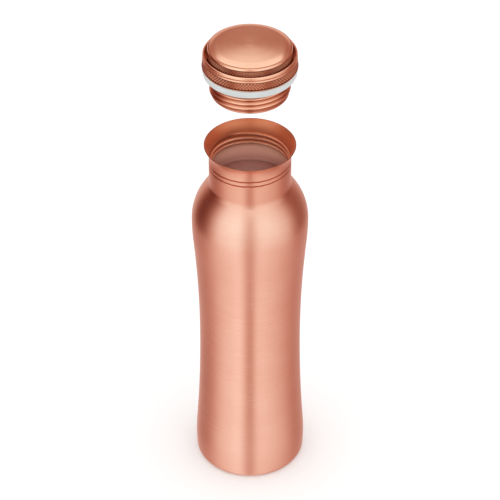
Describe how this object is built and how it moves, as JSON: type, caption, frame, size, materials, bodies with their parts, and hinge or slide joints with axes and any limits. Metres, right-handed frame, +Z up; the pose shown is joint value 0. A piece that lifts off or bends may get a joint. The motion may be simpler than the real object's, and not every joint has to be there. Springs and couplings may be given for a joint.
{
  "type": "water bottle",
  "caption": "Waisted copper water bottle with a flared threaded neck and a knurled screw cap with a white seal ring, cap shown lifted off.",
  "frame": {"origin": "middle of the resting ring under the bottle, on the surface it stands on", "axes": "+Z up along the bottle's axis; the shape is round about Z, and the threads are right-handed"},
  "size_m": [0.0768, 0.0768, 0.3361],
  "materials": {
    "copper_shell": "satin copper, fine brushing around the bottle",
    "copper_cap": "satin copper",
    "silicone": "smooth matt white silicone"
  },
  "bodies": {
    "bottle": {"bottle_body": "copper_shell"},
    "seal": {"seal_ring": "silicone"},
    "cap": {"thread_cup": "copper_cap", "cap_collar": "copper_cap", "cap_crown": "copper_cap"}
  },
  "joints": [
    {"name": "cap_lift", "type": "slide", "parent": "bottle", "child": "seal", "axis": [0, 0, 1], "range_m": [-0.05542, 0]},
    {"name": "cap_turn", "type": "hinge", "parent": "seal", "child": "cap", "pos_m": [0, 0, 0.32], "axis": [0, 0, 1], "range_deg": [-5868, 0]}
  ],
  "couplings": [
    {"joint": "cap_lift", "follows": "cap_turn", "m_per_rad": 0.00054113}
  ]
}
